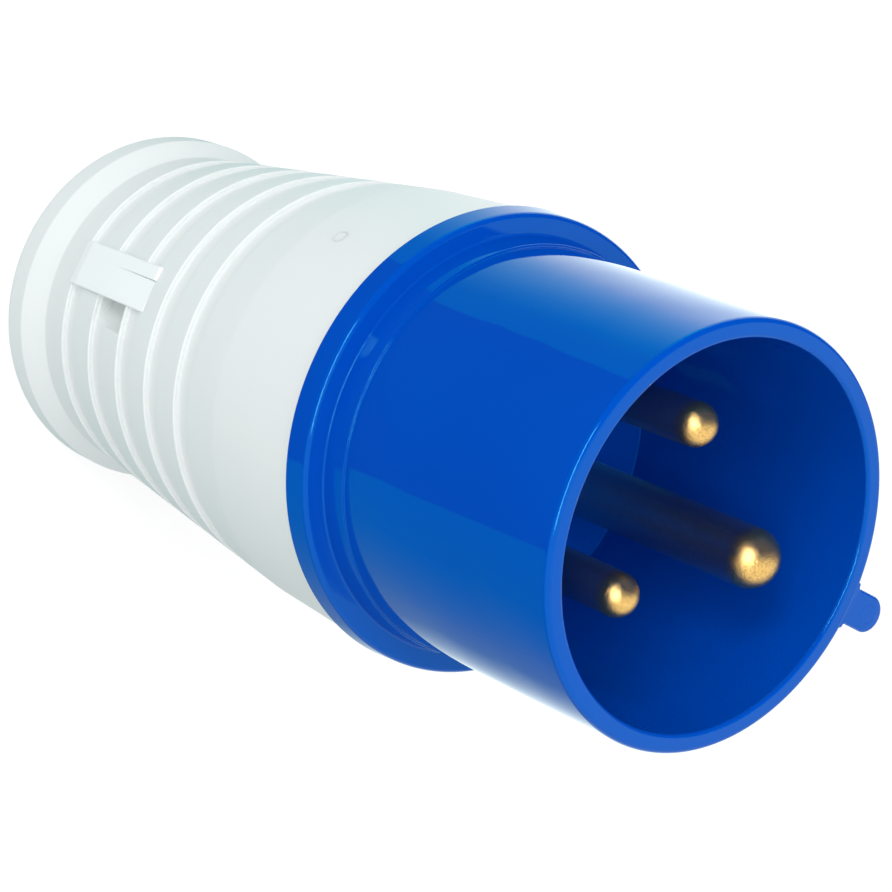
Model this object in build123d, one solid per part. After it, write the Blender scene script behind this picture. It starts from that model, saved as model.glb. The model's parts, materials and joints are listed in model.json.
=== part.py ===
from build123d import *
from math import asin, cos, degrees, radians, sin
import os

# Industrial plug, two poles and earth, 16 A, in millimetres.
# It stands on its tail: Z runs up the axis from the tail face to the rim, and the key points along -Y.

# Rear housing: outside
housing_length = 75.2
housing_front_radius = 27.6
bend_height = 58.0
bend_radius = 27.0
foot_height = 7.8
foot_radius = 22.4
tail_flange_height = 4.1
tail_flange_radius = 24.15
tail_flange_round = 0.7
groove_count = 5
groove_start = 13.4
groove_pitch = 8.5
groove_width = 3.6
groove_depth = 0.75
groove_round = 0.15
housing_wall = 2.3

# Latch tab on the rear housing
tab_width = 6.1
tab_rear_rise = 0.85
tab_front_dip = 0.55
tab_heel = 1.6
tab_grooves = 3
tab_strip_width = 1.85
tab_slit_length = 11.0
tab_scoop_radius = 5.0
tab_scoop_depth = 2.0
tab_scoop_offset = 0.6
tab_pad = 2.2

# Tail opening, cable seal and its retaining ring
seal_seat_radius = 18.6
seal_seat_depth = 6.0
tail_web = 2.6
tail_web_bore = 13.0
seal_thickness = 4.0
seal_bore = 5.5
seal_mouth = 8.0
seal_sleeve_length = 9.0
seal_sleeve_wall = 1.6
retainer_inset = 0.5
retainer_bore = 11.0

# Shroud: the collar round the pins, its flange and the skirt that enters the housing
flange_thickness = 3.4
flange_front_radius = 27.8
flange_back_radius = 28.1
flange_round = 0.5
shoulder_height = 3.0
shoulder_foot_radius = 25.3
shoulder_top_radius = 24.8
collar_length = 37.4
collar_root_radius = 24.55
collar_rim_radius = 23.9
rim_round = 0.5
mouth_radius = 21.7
cavity_floor_radius = 21.3
cavity_floor_round = 0.5
cavity_depth = 37.0
floor_thickness = 6.0
skirt_length = 9.2
skirt_radius = 24.4
skirt_wall = 2.0

# Key on the collar
key_width = 4.4
key_reach = 29.4
key_end_gap = 1.0
key_root_round = 0.7
key_end_round = 0.4
key_mark_radius = 1.25
key_mark_depth = 0.2

# Bayonet lugs on the skirt
lug_count = 3
lug_first_angle = -90.0
lug_width = 9.0
lug_height = 2.2
lug_rise = 0.9
lug_from_skirt_end = 1.0
lug_entry_turn = 30.0

# Pins and their terminals
pin_circle_radius = 11.4
pole_pin_radius = 2.5
earth_pin_radius = 3.5
pole_tip_inset = 2.8
earth_tip_inset = 2.3
pin_root_rise = 0.7
pin_collar_thickness = 2.0
pin_collar_rise = 1.7
pole_terminal_radius = 4.3
earth_terminal_radius = 4.7
terminal_length = 16.0
pole_wire_bore = 2.1
earth_wire_bore = 2.4
wire_bore_depth = 12.0
wire_guard_thickness = 0.4
wire_guard_length = 8.0
wire_guard_angle = 150.0

# Contact carrier behind the shroud's floor
carrier_height = 19.0
carrier_radius = 19.8
carrier_rim_height = 4.0

# Screws and nuts
terminal_screw_radius = 2.0
terminal_screw_head_radius = 2.8
terminal_screw_head_height = 2.2
terminal_screw_height = 5.5
carrier_screw_radius = 1.4
carrier_screw_head_radius = 2.7
carrier_screw_head_height = 2.0
carrier_screw_bite = 4.5
carrier_screw_circle = 15.0
clamp_screw_radius = 1.9
clamp_screw_head_radius = 3.3
clamp_screw_head_height = 2.4
clamp_nut_flats = 7.0
clamp_nut_thickness = 3.0
slot_width = 0.8
slot_depth = 1.0

# Cord clamp
clamp_distance = 15.0
clamp_height = 10.0
clamp_bore = 6.5
clamp_gap = 1.0
clamp_half_width = 18.5
clamp_back = 9.0
clamp_saddle_half_width = 16.5
clamp_saddle_front = 8.5
clamp_screw_spread = 11.5
clamp_ridge = 0.7
clamp_leg_thickness = 2.5
clamp_leg_width = 6.0
clamp_foot_thickness = 4.0

# Front gasket
gasket_width = 2.0
gasket_depth = 1.5
gasket_from_flange = 0.8

# Clearances
sliding_gap = 0.1
hole_gap = 0.05
chamber_gap = 0.3

# Heights along the axis
flange_back = housing_length
flange_front = flange_back + flange_thickness
rim = flange_front + collar_length
cavity_floor = rim - cavity_depth
floor_back = cavity_floor - floor_thickness
skirt_end = flange_back - skirt_length
carrier_back = floor_back - carrier_height
terminal_end = floor_back - pin_collar_thickness - terminal_length
terminal_screw_level = terminal_end + terminal_screw_height
clamp_top = carrier_back - clamp_distance
clamp_middle = clamp_top - clamp_height / 2
pin_angles = {"line": 30.0, "neutral": 150.0, "earth": -90.0}
carrier_screw_angles = {"right": -30.0, "left": 210.0, "top": 90.0}


def ring(outer, inner, bottom, height):
    """A plain ring about the axis, from a bottom height upwards."""
    disc = Cylinder(outer, height, align=(Align.CENTER, Align.CENTER, Align.MIN))
    hole = Cylinder(inner, height, align=(Align.CENTER, Align.CENTER, Align.MIN))
    return Pos(0, 0, bottom) * (disc - hole)


def rod(radius, bottom, top):
    """A round bar on the axis between two heights."""
    bar = Cylinder(radius, top - bottom, align=(Align.CENTER, Align.CENTER, Align.MIN))
    return Pos(0, 0, bottom) * bar


def block(x0, x1, y0, y1, z0, z1):
    """A box given by its limits."""
    box = Box(x1 - x0, y1 - y0, z1 - z0, align=(Align.MIN, Align.MIN, Align.MIN))
    return Pos(x0, y0, z0) * box


def turned(points):
    """A solid turned about the axis from an outline of (radius, height) points."""
    outline = Polyline(*[(r, 0, z) for r, z in points], close=True)
    return revolve(make_face(outline), Axis.Z)


def at_angle(angle, radius=0.0):
    """The place on a circle about the axis, turned so that local X points outwards."""
    return Rot(0, 0, angle) * Pos(radius, 0, 0)


def body_radius(z):
    """Radius of the housing's lands at a height."""
    if z >= bend_height:
        share = (z - bend_height) / (housing_length - bend_height)
        return bend_radius + share * (housing_front_radius - bend_radius)
    share = (z - foot_height) / (bend_height - foot_height)
    return foot_radius + share * (bend_radius - foot_radius)


def groove_bottoms():
    """Height of the lower wall of each groove."""
    return [groove_start + i * groove_pitch for i in range(groove_count)]


def slotted(head_radius, top):
    """The driver slot across a screw head whose top is at this height."""
    return block(-head_radius, head_radius, -slot_width / 2, slot_width / 2, top - slot_depth, top)


# Shroud: collar, flange, floor and skirt in one moulding
def shroud():
    body = turned([
        (0, floor_back),
        (skirt_radius - skirt_wall, floor_back),
        (skirt_radius - skirt_wall, skirt_end),
        (skirt_radius, skirt_end),
        (skirt_radius, flange_back),
        (flange_back_radius, flange_back),
        (flange_front_radius, flange_front),
        (shoulder_foot_radius, flange_front),
        (shoulder_top_radius, flange_front + shoulder_height),
        (collar_root_radius, flange_front + shoulder_height),
        (collar_rim_radius, rim),
        (mouth_radius, rim),
        (cavity_floor_radius, cavity_floor),
        (0, cavity_floor),
    ])
    rim_edges = body.edges().filter_by(GeomType.CIRCLE).filter_by_position(Axis.Z, rim, rim)
    body = fillet(rim_edges, rim_round)
    lip = body.edges().filter_by(GeomType.CIRCLE).filter_by_position(Axis.Z, flange_front, flange_front)
    body = fillet(lip.sort_by(SortBy.RADIUS)[-1], flange_round)
    floor_edge = body.edges().filter_by(GeomType.CIRCLE).filter_by_position(Axis.Z, cavity_floor, cavity_floor)
    body = fillet(floor_edge, cavity_floor_round)
    body += collar_key()
    body = fillet(key_root_edges(body), key_root_round)
    body -= key_mark()
    for i in range(lug_count):
        body += at_angle(lug_first_angle + i * 360 / lug_count) * bayonet_lug(lug_rise, lug_height)
    body -= gasket_groove()
    for name, angle in pin_angles.items():
        root = (earth_pin_radius if name == "earth" else pole_pin_radius) + pin_root_rise
        body -= at_angle(angle, pin_circle_radius) * rod(root + hole_gap, floor_back, cavity_floor)
    for angle in carrier_screw_angles.values():
        pilot = rod(carrier_screw_radius + hole_gap, floor_back, floor_back + carrier_screw_bite + hole_gap)
        body -= at_angle(angle, carrier_screw_circle) * pilot
    return body


def collar_key():
    """The round-nosed key along the collar, from just under the rim down to the shoulder."""
    foot = flange_front + shoulder_height + key_end_gap
    nose = key_reach - key_width / 2
    inner = (mouth_radius + collar_rim_radius) / 2
    top = rim - rim_round
    web = block(-key_width / 2, key_width / 2, -nose, -inner, foot, top)
    key = web + Pos(0, -nose, 0) * rod(key_width / 2, foot, top)
    ends = key.edges().filter_by_position(Axis.Z, foot, foot) + key.edges().filter_by_position(Axis.Z, top, top)
    reach = [edge for edge in ends if edge.center().Y < -inner - key_end_round]
    return fillet(reach, key_end_round)


def key_root_edges(body):
    """The two upright edges where the key's flanks leave the collar."""
    near = body.edges().filter_by_position(Axis.X, -key_width / 2 - 0.01, key_width / 2 + 0.01)
    near = near.filter_by_position(Axis.Y, -shoulder_top_radius, -collar_rim_radius + 0.5)
    return [edge for edge in near if edge.length > collar_length / 2 and abs(edge.center().X) > key_width / 4]


def key_mark():
    """The shallow round mark on the key's front end."""
    return Pos(0, -(key_reach - key_width / 2), rim - rim_round) * Cylinder(key_mark_radius, key_mark_depth * 2)


def bayonet_lug(rise, height, width=lug_width):
    """A lug on the skirt, cut from a ring, centred on local X."""
    bottom = skirt_end + lug_from_skirt_end
    whole = ring(skirt_radius + rise, skirt_radius - skirt_wall / 2, bottom, height)
    reach = skirt_radius + rise + 1
    return whole & block(0, reach, -width / 2, width / 2, bottom, bottom + height)


def gasket_groove():
    """The groove round the skirt under the flange that holds the gasket."""
    bottom = flange_back - gasket_from_flange - gasket_width
    return ring(skirt_radius + 1, skirt_radius - gasket_depth, bottom, gasket_width)


# Front gasket: an elastomer ring between skirt and housing
def front_gasket():
    bottom = flange_back - gasket_from_flange - gasket_width
    outer = skirt_radius + sliding_gap / 2
    seal = ring(outer, skirt_radius - gasket_depth, bottom, gasket_width)
    corners = seal.edges().filter_by(GeomType.CIRCLE).sort_by(SortBy.RADIUS)[-2:]
    return fillet(corners, gasket_width * 0.3)


# Rear housing: the grip, its tail flange and latch tab in one moulding
def rear_housing():
    outside = [(0, 0), (tail_flange_radius, 0), (tail_flange_radius, tail_flange_height)]
    outside.append((foot_radius, foot_height))
    for z in groove_bottoms():
        top = z + groove_width
        outside.append((body_radius(z), z))
        outside.append((body_radius(z) - groove_depth, z))
        outside.append((body_radius(top) - groove_depth, top))
        outside.append((body_radius(top), top))
    outside.append((bend_radius, bend_height))
    outside.append((housing_front_radius, housing_length))
    outside.append((0, housing_length))
    body = turned(outside)
    tail_edges = body.edges().filter_by(GeomType.CIRCLE).filter_by_position(Axis.Z, 0, tail_flange_height)
    body = fillet(tail_edges, tail_flange_round)
    foot = body.edges().filter_by(GeomType.CIRCLE).filter_by_position(Axis.Z, foot_height, foot_height)
    body = fillet(foot, tail_flange_round)
    for z in groove_bottoms():
        rings = body.edges().filter_by(GeomType.CIRCLE)
        rims = rings.filter_by_position(Axis.Z, z, z) + rings.filter_by_position(
            Axis.Z, z + groove_width, z + groove_width)
        body = fillet(rims, groove_round)
    body -= housing_cavity()
    body += latch_pad()
    body -= latch_scoop()
    body += latch_tab()
    body -= rod(seal_seat_radius, 0, seal_seat_depth)
    body -= rod(tail_web_bore, seal_seat_depth, seal_seat_depth + tail_web)
    body -= bayonet_track()
    return body


def inner_radius(z):
    """Radius of the housing's inside at a height, one wall under the groove floors."""
    return body_radius(z) - groove_depth - housing_wall


def housing_cavity():
    """The inside of the housing, above the web at its tail."""
    web_top = seal_seat_depth + tail_web
    skirt_room = skirt_radius + sliding_gap
    step = skirt_end - 2 * sliding_gap
    return turned([
        (0, web_top),
        (inner_radius(web_top), web_top),
        (inner_radius(bend_height), bend_height),
        (inner_radius(bend_height), step),
        (skirt_room, step),
        (skirt_room, housing_length),
        (0, housing_length),
    ])


def bayonet_track():
    """The ring groove that the lugs turn in, and the slots that let them in from the front."""
    bottom = skirt_end + lug_from_skirt_end - sliding_gap
    height = lug_height + 2 * sliding_gap
    outer = skirt_radius + lug_rise + sliding_gap
    track = ring(outer, skirt_radius, bottom, height)
    reach = outer + 1
    half = lug_width / 2 + 2 * sliding_gap
    for i in range(lug_count):
        entry = ring(outer, skirt_radius, bottom, housing_length - bottom)
        entry = entry & block(0, reach, -half, half, bottom, housing_length)
        track += at_angle(lug_first_angle + lug_entry_turn + i * 360 / lug_count) * entry
    return track


def tab_heights():
    """Heights of the tab's heel, of the rear end of its top, of the slit's start and of its front end."""
    heel = groove_start - tab_heel * 0.6
    tip = groove_start + (tab_grooves - 1) * groove_pitch + groove_width
    return heel, heel + tab_heel, tip - tab_slit_length, tip


def tab_top(z):
    """Radius of the tab's top at a height: raised at its rear end and level with the land at its front."""
    heel, rear, slit, tip = tab_heights()
    share = (tip - z) / (tip - rear)
    return body_radius(z) + tab_rear_rise * share


def tab_outline(front_drop):
    """Side outline of the tab as (outward, height) points, its front end this far under the land."""
    heel, rear, slit, tip = tab_heights()
    root = inner_radius(heel) + housing_wall / 2
    return [
        (root, heel),
        (body_radius(heel) - groove_depth / 3, heel),
        (tab_top(rear), rear),
        (tab_top(slit), slit),
        (tab_top(tip) - front_drop, tip),
        (root, tip),
    ]


def tab_bar(x0, x1, front_drop):
    """A bar of the tab between two places across its width, standing on the +Y side."""
    outline = Polyline(*[(x0, y, z) for y, z in tab_outline(front_drop)], close=True)
    return extrude(make_face(outline), amount=x1 - x0, dir=(1, 0, 0))


def latch_tab():
    """The tab over the grooves: a tongue that dips forwards from the slit on, beside a narrow strip."""
    half = tab_width / 2
    split = half - tab_strip_width
    tab = tab_bar(-half, split, tab_front_dip) + tab_bar(split, half, 0)
    return tab - scoop_room()


def latch_pad():
    """The thicker wall inside, behind the tab."""
    heel, rear, slit, tip = tab_heights()
    half = tab_width / 2 + tab_scoop_depth
    outer = body_radius(heel) - groove_depth
    pad = block(-half, half, inner_radius(heel) - tab_pad, outer, heel, tip)
    corner = (half, inner_radius(heel) - tab_pad)
    return pad - rod((corner[0] ** 2 + corner[1] ** 2) ** 0.5, heel, tip)


def scoop_heights():
    """Heights between which the scoop lies, over the second groove and the third land."""
    bottom = groove_start + groove_pitch
    return bottom + groove_width * 0.05, bottom + groove_pitch - groove_width * 0.1


def latch_scoop():
    """The round scoop for a fingernail or a blade, deepest beside the tongue's edge."""
    bottom, top = scoop_heights()
    surface = body_radius(bottom) - groove_depth
    middle_y = surface - tab_scoop_depth + tab_scoop_radius
    return Pos(tab_scoop_offset - tab_width / 2, middle_y, 0) * rod(tab_scoop_radius, bottom, top)


def scoop_room():
    """The part of the scoop under the tongue, so that the tongue bridges it."""
    bottom, top = scoop_heights()
    half = tab_width / 2
    roof = body_radius(bottom) - groove_depth * 0.4
    return latch_scoop() & block(-half, half, 0, roof, bottom, top)


# Cable seal: a rubber disc with a sleeve that grips the cord
def cable_seal():
    top = seal_seat_depth
    bottom = top - seal_thickness
    sleeve_top = top + seal_sleeve_length
    bore_start = top + seal_sleeve_length / 3
    return turned([
        (seal_mouth, bottom),
        (seal_seat_radius, bottom),
        (seal_seat_radius, top),
        (seal_mouth + seal_sleeve_wall, top),
        (seal_bore + seal_sleeve_wall, bore_start),
        (seal_bore + seal_sleeve_wall, sleeve_top),
        (seal_bore, sleeve_top),
        (seal_bore, bore_start),
    ])


# Seal retainer: the ring that closes the tail
def seal_retainer():
    height = seal_seat_depth - seal_thickness - retainer_inset
    body = ring(seal_seat_radius, retainer_bore, retainer_inset, height)
    mouth = body.edges().filter_by_position(Axis.Z, retainer_inset, retainer_inset)
    return chamfer(mouth.sort_by(SortBy.RADIUS)[0], height * 0.6)


# Pins: turned brass with a thicker root in the floor, a collar and a bored terminal
def contact_pin(name):
    earth = name == "earth"
    radius = earth_pin_radius if earth else pole_pin_radius
    inset = earth_tip_inset if earth else pole_tip_inset
    terminal = earth_terminal_radius if earth else pole_terminal_radius
    bore = earth_wire_bore if earth else pole_wire_bore
    dome = rim - inset - radius
    pin = rod(radius, cavity_floor, dome) + Pos(0, 0, dome) * Sphere(radius)
    pin += rod(radius + pin_root_rise, floor_back, cavity_floor)
    pin += rod(terminal + pin_collar_rise, floor_back - pin_collar_thickness, floor_back)
    shank = rod(terminal, terminal_end, floor_back - pin_collar_thickness)
    pin += chamfer(shank.edges().filter_by_position(Axis.Z, terminal_end, terminal_end), terminal * 0.1)
    pin -= rod(bore, terminal_end, terminal_end + wire_bore_depth)
    tapped = rod(terminal_screw_radius + hole_gap, 0, terminal)
    pin -= Pos(0, 0, terminal_screw_level) * Rot(0, 90, 0) * tapped
    return at_angle(pin_angles[name], pin_circle_radius) * pin


# Terminal screws: slotted, driven inwards from the side
def terminal_screw(name):
    terminal = earth_terminal_radius if name == "earth" else pole_terminal_radius
    bore = earth_wire_bore if name == "earth" else pole_wire_bore
    seat = terminal + chamber_gap
    top = seat + terminal_screw_head_height
    screw = rod(terminal_screw_radius, bore, seat) + rod(terminal_screw_head_radius, seat, top)
    screw -= slotted(terminal_screw_head_radius, top)
    placed = Pos(0, 0, terminal_screw_level) * Rot(0, 90, 0) * screw
    return at_angle(pin_angles[name], pin_circle_radius) * placed


# Wire guards: thin curved leaves between screw tip and wire
def wire_guard(name):
    bore = earth_wire_bore if name == "earth" else pole_wire_bore
    bottom = terminal_screw_level - wire_guard_length / 2
    leaf = ring(bore, bore - wire_guard_thickness, bottom, wire_guard_length)
    half = wire_guard_angle / 2
    limit = bore * 2
    corner_y = limit * sin(radians(half))
    corner_x = limit * cos(radians(half))
    sector = Polyline((0, 0, bottom), (corner_x, -corner_y, bottom), (limit, -corner_y, bottom),
                      (limit, corner_y, bottom), (corner_x, corner_y, bottom), close=True)
    leaf = leaf & extrude(make_face(sector), amount=wire_guard_length, dir=(0, 0, 1))
    return at_angle(pin_angles[name], pin_circle_radius) * leaf


# Contact carrier: the insulating block that locks the pins against the floor
def contact_carrier():
    body = rod(carrier_radius, carrier_back, floor_back)
    rim_radius = skirt_radius - skirt_wall - sliding_gap
    body += rod(rim_radius, floor_back - carrier_rim_height, floor_back)
    for name, angle in pin_angles.items():
        terminal = earth_terminal_radius if name == "earth" else pole_terminal_radius
        seat = floor_back - pin_collar_thickness
        chamber = rod(terminal + chamber_gap, carrier_back, seat)
        chamber += rod(terminal + pin_collar_rise + hole_gap, seat, floor_back)
        half = terminal_screw_head_radius + chamber_gap
        window = block(0, carrier_radius, -half, half, carrier_back, terminal_screw_level + half)
        body -= at_angle(angle, pin_circle_radius) * (chamber + window)
    for angle in carrier_screw_angles.values():
        hole = rod(carrier_screw_radius + hole_gap, carrier_back, floor_back)
        body -= at_angle(angle, carrier_screw_circle) * hole
    return body


# Carrier screws: two hold the clamp's feet as well
def carrier_screw(name):
    seat = carrier_back if name == "top" else carrier_back - clamp_foot_thickness
    bottom = seat - carrier_screw_head_height
    screw = rod(carrier_screw_radius, seat, floor_back + carrier_screw_bite)
    screw += rod(carrier_screw_head_radius, bottom, seat)
    screw -= slotted(carrier_screw_head_radius, bottom + slot_depth)
    return at_angle(carrier_screw_angles[name], carrier_screw_circle) * screw


# Cord clamp: a yoke on the carrier and a saddle drawn against it
def clamp_yoke():
    bottom = clamp_top - clamp_height
    y_face = -clamp_gap / 2
    body = block(-clamp_half_width, clamp_half_width, -clamp_back, y_face, bottom, clamp_top)
    body -= cord_channel()
    foot = carrier_screw_circle * cos(radians(carrier_screw_angles["right"]))
    foot_y = carrier_screw_circle * sin(radians(carrier_screw_angles["right"]))
    pad = carrier_screw_head_radius + chamber_gap
    for side in (-1, 1):
        outer = side * clamp_half_width
        inner = side * (clamp_half_width - clamp_leg_thickness)
        y0 = foot_y - clamp_leg_width / 2
        y1 = foot_y + clamp_leg_width / 2
        body += block(min(outer, inner), max(outer, inner), y0, y1, bottom, carrier_back)
        near = side * (foot - pad)
        feet_bottom = carrier_back - clamp_foot_thickness
        body += block(min(outer, near), max(outer, near), y0, y1, feet_bottom, carrier_back)
        hole = rod(carrier_screw_radius + hole_gap, feet_bottom, carrier_back)
        body -= Pos(side * foot, foot_y, 0) * hole
        body -= clamp_hole(side)
        body -= clamp_nut_shape(side, hole_gap)
    return body


def clamp_saddle():
    bottom = clamp_top - clamp_height
    y_face = clamp_gap / 2
    half = clamp_saddle_half_width
    body = block(-half, half, y_face, clamp_saddle_front, bottom, clamp_top)
    edges = body.edges().filter_by(Axis.Z).filter_by_position(Axis.Y, clamp_saddle_front, clamp_saddle_front)
    body = chamfer(edges, clamp_ridge * 2)
    body -= cord_channel()
    for side in (-1, 1):
        body -= clamp_hole(side)
    return body


def cord_channel():
    """The round channel for the cord, narrowed by two ridges."""
    bottom = clamp_top - clamp_height
    narrow = rod(clamp_bore - clamp_ridge, bottom, clamp_top)
    step = clamp_height / 5
    for i in (0, 2, 4):
        narrow += rod(clamp_bore, bottom + i * step, bottom + (i + 1) * step)
    return narrow


def clamp_hole(side):
    """The hole for a clamp screw through yoke and saddle."""
    hole = rod(clamp_screw_radius + hole_gap, -clamp_back, clamp_saddle_front)
    return Pos(side * clamp_screw_spread, 0, clamp_middle) * Rot(-90, 0, 0) * hole


def clamp_nut_shape(side, gap):
    """The hexagon of a clamp nut against the yoke's back, enlarged by a gap."""
    radius = clamp_nut_flats / 2 + gap
    nut = extrude(RegularPolygon(radius, 6, major_radius=False), amount=clamp_nut_thickness)
    nut = Pos(0, 0, -clamp_back) * nut
    return Pos(side * clamp_screw_spread, 0, clamp_middle) * Rot(-90, 0, 0) * nut


def clamp_screw(side):
    end = -clamp_back
    top = clamp_saddle_front + clamp_screw_head_height
    screw = rod(clamp_screw_radius, end, clamp_saddle_front)
    screw += rod(clamp_screw_head_radius, clamp_saddle_front, top)
    screw -= slotted(clamp_screw_head_radius, top)
    return Pos(side * clamp_screw_spread, 0, clamp_middle) * Rot(-90, 0, 0) * screw


def clamp_nut(side):
    return clamp_nut_shape(side, 0) - clamp_hole(side)


# The pieces, each in its own file
def pieces():
    made = {
        "shroud": shroud(),
        "front_gasket": front_gasket(),
        "rear_housing": rear_housing(),
        "cable_seal": cable_seal(),
        "seal_retainer": seal_retainer(),
        "contact_carrier": contact_carrier(),
        "clamp_yoke": clamp_yoke(),
        "clamp_saddle": clamp_saddle(),
    }
    for name in pin_angles:
        made[f"{name}_pin"] = contact_pin(name)
        made[f"{name}_terminal_screw"] = terminal_screw(name)
        made[f"{name}_wire_guard"] = wire_guard(name)
    for name in carrier_screw_angles:
        made[f"carrier_screw_{name}"] = carrier_screw(name)
    for name, side in (("left", -1), ("right", 1)):
        made[f"clamp_screw_{name}"] = clamp_screw(side)
        made[f"clamp_nut_{name}"] = clamp_nut(side)
    return made


os.makedirs("parts", exist_ok=True)
for piece_name, solid in pieces().items():
    export_step(solid, f"parts/{piece_name}.step")
    print(piece_name, round(solid.volume, 1))
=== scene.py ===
"""Dresses the industrial plug: smooth surfaces for its outer pieces, finishes for all of them, and a studio."""
import json

import bpy
import bmesh
import numpy as np
from bpy.props import FloatProperty, FloatVectorProperty, IntProperty, PointerProperty
from bpy.types import Operator, Panel, PropertyGroup
from mathutils import Euler, Matrix, Vector


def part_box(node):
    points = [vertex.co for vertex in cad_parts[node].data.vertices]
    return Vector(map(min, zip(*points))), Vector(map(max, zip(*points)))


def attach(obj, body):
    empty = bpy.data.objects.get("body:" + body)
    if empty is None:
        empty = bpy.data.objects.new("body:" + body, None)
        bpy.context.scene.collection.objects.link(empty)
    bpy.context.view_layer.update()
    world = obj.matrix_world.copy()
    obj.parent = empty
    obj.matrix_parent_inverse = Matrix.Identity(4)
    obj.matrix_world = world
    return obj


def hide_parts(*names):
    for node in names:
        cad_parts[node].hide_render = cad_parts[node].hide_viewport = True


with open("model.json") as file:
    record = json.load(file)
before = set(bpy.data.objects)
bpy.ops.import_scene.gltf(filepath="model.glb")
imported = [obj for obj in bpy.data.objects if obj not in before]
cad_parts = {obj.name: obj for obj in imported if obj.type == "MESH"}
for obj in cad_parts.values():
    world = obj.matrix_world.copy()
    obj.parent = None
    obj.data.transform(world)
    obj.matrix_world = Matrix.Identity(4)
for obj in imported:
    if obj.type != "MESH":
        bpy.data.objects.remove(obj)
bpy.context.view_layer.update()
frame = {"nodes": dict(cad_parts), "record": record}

bl_info = {
    "name": "Industrial plug",
    "version": (1, 0, 0),
    "blender": (4, 5, 0),
    "location": "View3D > Sidebar > Plug",
    "description": "Builds the surfaces, finishes and studio of a two-pole and earth industrial plug",
    "category": "Object",
}

MM = 0.001
TURN = 2 * np.pi

# Places on the mouldings that several surfaces share, in millimetres
COLLAR_FOOT, COLLAR_TOP = 24.55, 23.9  # outer radii of the collar, on the shoulder and at the rim
SHOULDER = 3.0  # height of the shoulder over the flange's front face
KEY_SINK = 0.04  # from the rim down to the key's end
BODY_HEIGHTS = (7.8, 58.0, 75.2)  # where the housing's cone starts, where it bends and where it ends
BODY_RADII = (22.4, 27.0, 27.6)  # radii of the housing's lands at these heights
FIRST_GROOVE = 13.4  # height of the lowest groove's rear edge
SCOOP_RADIUS = 5.0
# Painted reflection: below these heights the pins' shanks take a greyer tone that stands in for the dark blue cavity
# they mirror.
PAINTED_SHANK_HEIGHTS = (109.8, 111.2)  # heights between which the pins' shank tone gives way to the tip's

# The direction that is up in the photo: the studio's dark part lies above, and its mirrored lamp stands along it
STUDIO_UP = (0.906, 0.335, -0.258)


def node_box(node):
    """Lowest and highest corner of a node, in millimetres."""
    low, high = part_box(node)
    return np.array(low) / MM, np.array(high) / MM


RIM_TOP = float(node_box("shroud")[1][2])


class PlugSizes(PropertyGroup):
    """Sizes of the plug that a user would change, in metres."""

    rim_height: FloatProperty(name="Rim height", description="Height of the collar's rim over the tail",
                              default=RIM_TOP * MM, unit="LENGTH")
    collar_length: FloatProperty(name="Collar length", description="From the flange's front face to the rim",
                                 default=37.4 * MM, unit="LENGTH")
    flange_thickness: FloatProperty(name="Flange thickness", description="Height of the blue flange",
                                    default=3.4 * MM, unit="LENGTH")
    flange_radius: FloatProperty(name="Flange radius", description="Radius of the flange at its front edge",
                                 default=27.8 * MM, unit="LENGTH")
    mouth_radius: FloatProperty(name="Mouth radius", description="Inner radius of the collar at the rim",
                                default=21.7 * MM, unit="LENGTH")
    cavity_depth: FloatProperty(name="Cavity depth", description="From the rim down to the floor round the pins",
                                default=37.0 * MM, unit="LENGTH")
    pole_radius: FloatProperty(name="Pole radius", description="Radius of the line and neutral pins",
                               default=2.5 * MM, unit="LENGTH")
    earth_radius: FloatProperty(name="Earth radius", description="Radius of the earth pin",
                                default=3.5 * MM, unit="LENGTH")
    groove_count: IntProperty(name="Grooves", description="Grooves round the rear housing", default=5, min=1)
    groove_pitch: FloatProperty(name="Groove pitch", description="From one groove to the next",
                                default=8.5 * MM, unit="LENGTH")
    groove_width: FloatProperty(name="Groove width", description="Width of a groove", default=3.6 * MM,
                                unit="LENGTH")
    groove_depth: FloatProperty(name="Groove depth", description="Depth of a groove under the lands",
                                default=0.75 * MM, unit="LENGTH")
    tab_width: FloatProperty(name="Tab width", description="Width of the latch tab", default=6.1 * MM,
                             unit="LENGTH")


class PlugColours(PropertyGroup):
    """Colours of the plug's finishes, as linear values."""

    blue: FloatVectorProperty(name="Blue", description="Shroud plastic", subtype="COLOR", size=3, min=0, max=1,
                              default=(0.0, 0.066, 0.46))
    light_grey: FloatVectorProperty(name="Light grey", description="Rear housing plastic", subtype="COLOR",
                                    size=3, min=0, max=1, default=(0.80, 0.84, 0.835))
    brass: FloatVectorProperty(name="Brass", description="Contact pins", subtype="COLOR", size=3, min=0, max=1,
                               default=(0.95, 0.61, 0.20))
    black: FloatVectorProperty(name="Black", description="Carrier and cord clamp", subtype="COLOR", size=3,
                               min=0, max=1, default=(0.02, 0.02, 0.022))
    rubber: FloatVectorProperty(name="Rubber", description="Seal and gasket", subtype="COLOR", size=3, min=0,
                                max=1, default=(0.014, 0.014, 0.015))
    steel: FloatVectorProperty(name="Steel", description="Screws, nuts and wire guards", subtype="COLOR",
                               size=3, min=0, max=1, default=(0.60, 0.61, 0.62))


def sizes():
    """The sizes by name, in millimetres apart from the number of grooves."""
    group = bpy.context.scene.plug_sizes
    found = {}
    for name in PlugSizes.__annotations__:
        value = getattr(group, name)
        found[name] = value if name == "groove_count" else value / MM
    return found


def colour(name):
    """A finish's colour from the panel, with an alpha of 1."""
    return (*getattr(bpy.context.scene.plug_colours, name), 1.0)


# Outlines and surfaces

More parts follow.
